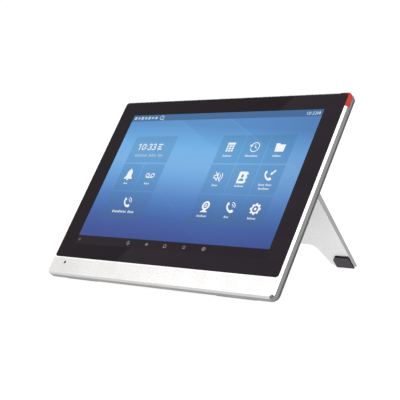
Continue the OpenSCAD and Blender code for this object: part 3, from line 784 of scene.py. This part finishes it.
def sweep(cx, cy, r, a, b, w, n=18, ry=None):
    """A stroke along an arc, angles in degrees with 0 to the right and 90 down."""
    ry = r if ry is None else ry
    turn = [math.radians(a + (b - a) * i / n) for i in range(n + 1)]
    outer = [(cx + (r + w / 2) * math.cos(t), cy + (ry + w / 2) * math.sin(t)) for t in turn]
    inner = [(cx + (r - w / 2) * math.cos(t), cy + (ry - w / 2) * math.sin(t)) for t in turn]
    return [outer + inner[::-1]]


def bar(x0, y0, x1, y1, w):
    """A straight stroke with square ends."""
    d = Vector((x1 - x0, y1 - y0)).normalized() * (w / 2)
    return [[(x0 - d.y, y0 + d.x), (x1 - d.y, y1 + d.x), (x1 + d.y, y1 - d.x), (x0 + d.y, y0 - d.x)]]


def box(x0, y0, x1, y1, r=0.01):
    return [rounded(x0, x1, y0, y1, r, n=4)]


def polygon(x, y, points, s=1.0):
    """Points given round a middle, scaled by s."""
    return [(x + a * s, y + b * s) for a, b in points]


def bell(x, y):
    side = [(5, -30), (12, -25), (17, -14), (18, 4), (22, 14), (30, 22), (30, 26)]
    outline = polygon(x, y, side + [(-a, b) for a, b in side[::-1]])
    return [[outline], [dot(x, y - 32, 4)], [dot(x, y + 31, 7, 4)]]


def voicemail(x, y):
    reels = [oval(x + k, y, 11, 11, 5.5) for k in (-18, 18)]
    return [*reels, bar(x - 19, y + 12, x + 19, y + 12, 5)]


def handset(x, y, s=1.0):
    """A telephone handset lying on the slant."""
    outline = [
        (-28, -25), (-29, -12), (-24, 3), (-13, 17), (1, 27), (15, 31), (26, 27), (29, 21),
        (18, 10), (11, 14), (3, 17), (-9, 8), (-17, -4), (-19, -12), (-11, -17), (-20, -30),
    ]
    return [[polygon(x, y, outline, s)]]


def ringing(x, y):
    return handset(x + 1, y - 2, 0.96) + [sweep(x + 5, y - 6, r, -95, 12, 4) for r in (12, 23)]


def calendar(x, y):
    days = [
        box(x - 24 + 17 * i, y - 11 + 13 * j, x - 12 + 17 * i, y - 1 + 13 * j)
        for i in range(3)
        for j in range(3)
    ]
    return [box(x - 25, y - 27, x + 25, y - 15), *days]


def history(x, y):
    return [
        sweep(x + 2, y, 26, -150, 160, 4.4, n=40),
        bar(x + 2, y - 15, x + 2, y + 2, 4),
        bar(x + 1, y, x + 15, y + 6, 4),
        [polygon(x, y, [(-33, -14), (-13, -12), (-24, 2)])],
    ]


def folder(x, y):
    return [[polygon(x, y, [(-30, -24), (-8, -24), (-3, -17), (30, -17), (27, 23), (-25, 23)])]]


def muted(x, y):
    """A speaker in outline and its sound, struck through."""
    speaker = [(-29, -10), (-17, -10), (-1, -26), (-1, 26), (-17, 10), (-29, 10)]
    inside = [(-24, 5), (-15, 5), (-6, 14), (-6, -14), (-15, -5), (-24, -5)]
    return [
        [polygon(x, y, speaker), polygon(x, y, inside)],
        *(sweep(x - 1, y, r, -50, 50, 4.5) for r in (15, 27)),
        bar(x - 25, y - 28, x + 21, y + 29, 4.5),
    ]


def contacts(x, y):
    cover = box(x - 26, y - 33, x + 24, y + 33, 5)[0]
    head = dot(x - 1, y - 8, 8, 10)[::-1]
    chest = polygon(x, y, [(-17, 20), (-14, 9), (-5, 5), (3, 5), (12, 9), (15, 20)])
    tabs = [box(x + 25, y + k - 6, x + 30, y + k + 6) for k in (-22, 0, 22)]
    return [[cover, head, chest], *tabs]


def arrowed(x, y):
    point = polygon(x, y, [(7, -6), (9, -22), (22, -9)])
    return handset(x - 3, y - 3, 0.9) + [bar(x + 32, y - 32, x + 16, y - 16, 9), [point]]


def webcam(x, y):
    foot = [(-7, 15), (7, 15), (10, 21), (21, 25), (21, 30), (-21, 30), (-21, 25), (-10, 21)]
    return [oval(x, y - 7, 19, 19, 10), oval(x, y - 7, 6, 6, 5), [polygon(x, y, foot)]]


def gear(x, y):
    # a tooth: turns about its middle as shares of the pitch, and radii
    half = ((0.15, 31.5), (0.25, 30), (0.30, 26), (0.40, 25))
    tooth = [(-a, r) for a, r in half[::-1]] + list(half)
    teeth, outline = 8, []
    for i in range(teeth):
        for a, r in tooth:
            t = math.tau * (i + a) / teeth
            outline.append((x + r * math.sin(t), y - r * math.cos(t)))
    return [[outline, dot(x, y, 17)[::-1]], [dot(x, y, 7.5)]]


def digit(ch, x, y, h, w, t):
    """A plain time digit, 0, 1 or 3, or the colon, in a cell from x of width w and height h, centred on y."""
    r, top, low = w / 2 - t / 2, y - h / 2, y + h / 2
    cx = x + w / 2
    if ch == "0":
        return [oval(cx, y, r, h / 2 - t / 2, t)]
    if ch == "1":
        flag = [(cx - 2, top), (cx - 2, top + t * 1.2), (x + 1, top + t * 2.1), (x + 1, top + t * 1.1)]
        return [bar(cx + 1, top, cx + 1, low, t), [flag]]
    if ch == "3":
        q = h / 4 - t / 8
        return [
            sweep(cx - 1, top + q + t / 4, r * 0.9, -165, 92, t, ry=q - t / 4),
            sweep(cx - 1, low - q - t / 4, r, -92, 165, t, ry=q - t / 4),
        ]
    return [[dot(x + w / 4, y - h * 0.18, t * 0.55)], [dot(x + w / 4, y + h * 0.25, t * 0.55)]]


def clock(x, y, h, wide, narrow, gap, t):
    """The time from x: wide and narrow are the steps of a digit and of the colon, t the width of a stroke."""
    made = []
    for ch in "10:33":
        step = narrow if ch == ":" else wide
        made += digit(ch, x, y, h, step - gap, t)
        x += step
    return made


def words(cx, y, lengths, h=8, gap=7.0, letter=7.2):
    """A caption centred on cx: each word is a run of small blocks of uneven height."""
    total = sum(n * letter for n in lengths) + gap * (len(lengths) - 1)
    x, made, k = cx - total / 2, [], 0
    for n in lengths:
        for i in range(n):
            tall = (k * 7 + n * 3) % 5 == 0 or i == 0
            top = y - h / 2 - (3.5 if tall else 0)
            made.append(box(x + 0.1 * letter, top, x + 0.6 * letter, y + h / 2))
            x, k = x + letter, k + 1
        x += gap
    return made


def house(x, y, r):
    """The five corners of a plain house outline of half-height r."""
    return polygon(x, y, [(0, -1), (1, -0.1), (0.8, 1), (-0.8, 1), (-1, -0.1)], r)


# clock and icons, each over its caption
bright = clock(142, 205, 40, 31, 15, 3, 5.8)
bright += [box(292, 187, 322, 194, 2), box(292, 201, 314, 208, 2), box(292, 215, 322, 222, 2)]
for icon, x, y in (
    (bell, 171, 377), (voicemail, 327, 380), (ringing, 248, 546),
    (calendar, 797, 210), (history, 951, 210), (folder, 1108, 213),
    (muted, 797, 380), (contacts, 951, 382), (arrowed, 1108, 372),
    (webcam, 797, 550), (ringing, 953, 550), (gear, 1108, 550),
):
    bright += icon(x, y)
for cx, y, lengths in (
    (171, 431, [4]), (327, 430, [5]), (797, 261, [8]), (952, 261, [11]), (1108, 261, [7]),
    (797, 430, [5]), (952, 431, [8]), (1108, 421, [5, 5]), (1108, 442, [9]),
    (797, 602, [9]), (953, 601, [4]), (1108, 602, [7]),
):
    bright += words(cx, y, lengths)
bright += words(248, 600, [9, 4], h=11, letter=11.5, gap=11)

# the line under the clock, and the status bar with its own small clock
soft = words(250, 259, [8, 5, 3], h=13, letter=11.5, gap=11)
for i, tall in enumerate((18, 12, 20, 14, 18, 12, 16)):
    soft.append(box(14 + 26 * i, 20 - tall / 2, 14 + 26 * i + 17, 20 + tall / 2, 3))
soft += [oval(222, 20, 13, 11, 5), bar(232, 30, 242, 36, 5)]
soft += clock(1184, 21, 19, 14, 8, 2.5, 3.6)
soft += [box(1248, 13, 1254, 29), box(1258, 13, 1268, 29, 2)]

# navigation marks on the lower bar: a turn back, an arrow, a house, a square, a ring and two short lines
grey = [
    sweep(387, 775, 9, 0, 300, 4),
    bar(387, 775, 398, 775, 4),
    [[(505, 775), (521, 765), (521, 785)]],
    bar(520, 775, 531, 775, 4),
    [house(643, 775, 11), house(643, 775, 7)[::-1]],
    [rounded(762, 778, 767, 783, 3, 4), rounded(765, 775, 770, 780, 1, 4)[::-1]],
    oval(897, 775, 10, 8, 4),
    [dot(897, 775, 4)],
    bar(12, 771, 28, 771, 2.5),
    bar(12, 779, 28, 779, 2.5),
]
MARKS_LIFT = 0.02  # mm in front of the picture


def marks(name, shapes, finish):
    """Flat shapes just in front of the picture, all facing the viewer."""
    bm = bmesh.new()
    for shape in shapes:
        verts = [bm.verts.new(on_picture(px, py, -MARKS_LIFT)) for loop in shape for px, py in loop]
        for a, b, c in tessellate_polygon([[Vector((px, py, 0)) for px, py in loop] for loop in shape]):
            if len({a, b, c}) == 3:
                f = bm.faces.new((verts[a], verts[b], verts[c]))
                f.normal_update()
                if f.normal.y > 0:
                    f.normal_flip()
    bm.transform(PANEL)
    ob = as_object(bm, name, outward=False)
    ob.data.materials.append(FINISHES[finish])
    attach(ob, "phone")


marks("picture_icons", bright, "marks_bright")
marks("picture_captions", soft, "marks_soft")
marks("picture_keys", grey, "marks_grey")

# ---------- CAD nodes that keep their shape: soft edges, in millimetres, and better materials ----------

EDGES = {
    "rear_cover": 0.35, "stand_plate": 0.5, "stand_foot_left": 0.25, "stand_foot_right": 0.25,
    "hinge_bracket_left": 0.2, "hinge_bracket_right": 0.2, "hinge_nuts": 0.2, "hinge_pin_left": 0.15,
    "hinge_pin_right": 0.15, "hinge_washers": 0.1, "rear_cover_screws": 0.15, "bracket_screws": 0.15,
    "base_foot_left": 0.25, "base_foot_right": 0.25, "port_plate": 0.12, "lan_jack": 0.15, "pc_jack": 0.15,
    "usb_socket": 0.12, "power_jack": 0.15, "headset_jack": 0.15, "usb_tongue": 0.15, "power_pin": 0.2,
    "speaker_grille_left": 0.12, "speaker_grille_right": 0.12, "reset_button": 0.15,
}
for name, node in frame["nodes"].items():
    for i, slot in enumerate(cad_slots[name]):
        node.data.materials[i] = FINISHES[slot]
    if name in EDGES:
        soften(node, EDGES[name])


def repaint(node, extra, chosen):
    """Adds finishes to a CAD node and gives the chosen faces the first of them."""
    for finish in extra:
        node.data.materials.append(FINISHES[finish])
    for f in node.data.polygons:
        f.material_index = int(chosen(f.normal))


# the plate's narrow sides are brushed, and a thin edge with a painted highlight runs round its faces
plate = frame["nodes"]["stand_plate"]
repaint(plate, ["stand_side", "stand_edge_painted_highlight"], lambda normal: abs(normal.x) > 0.9)
plate.modifiers["edges"].material = 2

# painted shade: the feet's upper bevels and outer sides are darker than their faces
for side in ("left", "right"):
    repaint(frame["nodes"]["stand_foot_" + side], ["rubber_edge"], lambda normal: normal.dot(OUT) > -0.95)

# ---------- floor, light and camera ----------


def floor():
    bm = bmesh.new()
    bmesh.ops.create_grid(bm, x_segments=8, y_segments=8, size=8.0)
    ob = as_object(bm, "studio_floor")
    ob.location.z = cad_box[0].z - 0.0002
    f = Finish("studio_floor", (0.25, 0.25, 0.25), 0.8, turn=0.0)
    f.grain(0.02, 0.4, tint=0.01, shine=0.02, bump=0.00001)
    f.set("Emission Color", (1, 1, 1, 1)).set("Emission Strength", 0.88)
    ob.data.materials.append(f.material)


def sky_dome():
    """White light all round, from a bright horizon up to a dimmer ceiling."""
    world = bpy.data.worlds.new("studio")
    bpy.context.scene.world = world
    world.use_nodes = True
    tree = world.node_tree
    height = tree.nodes.new("ShaderNodeVectorMath")
    height.operation = "DOT_PRODUCT"
    height.inputs[1].default_value = (0, 0, 1)
    tree.links.new(tree.nodes.new("ShaderNodeTexCoord").outputs["Generated"], height.inputs[0])
    ease = tree.nodes.new("ShaderNodeMapRange")
    ease.interpolation_type = "SMOOTHSTEP"
    for k, v in (("From Min", 0.12), ("From Max", 0.45), ("To Min", 1.03), ("To Max", 0.60)):
        ease.inputs[k].default_value = v
    tree.links.new(height.outputs["Value"], ease.inputs["Value"])
    tree.links.new(ease.outputs["Result"], tree.nodes["Background"].inputs["Strength"])
    tree.nodes["Background"].inputs["Color"].default_value = (1, 1, 1, 1)


def sun(name, towards, strength, angle):
    data = bpy.data.lights.new(name, "SUN")
    data.energy, data.angle = strength, math.radians(angle)
    ob = bpy.data.objects.new(name, data)
    ob.rotation_mode = "QUATERNION"
    ob.rotation_quaternion = Vector(towards).to_track_quat("Z", "Y")
    bpy.context.scene.collection.objects.link(ob)


floor()
sky_dome()
sun("key_softbox", (0.64, -0.31, 0.70), 1.1, 55)
sun("fill_softbox", (-0.25, -0.75, 0.55), 0.95, 60)

# the camera, solved from the corners of the glass and of the lit area in the photograph
camera = bpy.data.cameras.new("camera")
camera.sensor_width, camera.lens = 36.0, 97.54
camera.clip_start, camera.clip_end = 0.02, 50.0
eye = bpy.data.objects.new("camera", camera)
bpy.context.scene.collection.objects.link(eye)
facing = Matrix(((0.7338, -0.0287, 0.6787), (0.6762, 0.1266, -0.7257), (-0.0651, 0.9916, 0.1124)))
eye.rotation_mode = "QUATERNION"
eye.rotation_quaternion = facing.to_quaternion()
eye.location = (0.6213, -0.6702, 0.1673)
bpy.context.scene.camera = eye
bpy.context.scene.view_settings.view_transform = "Standard"
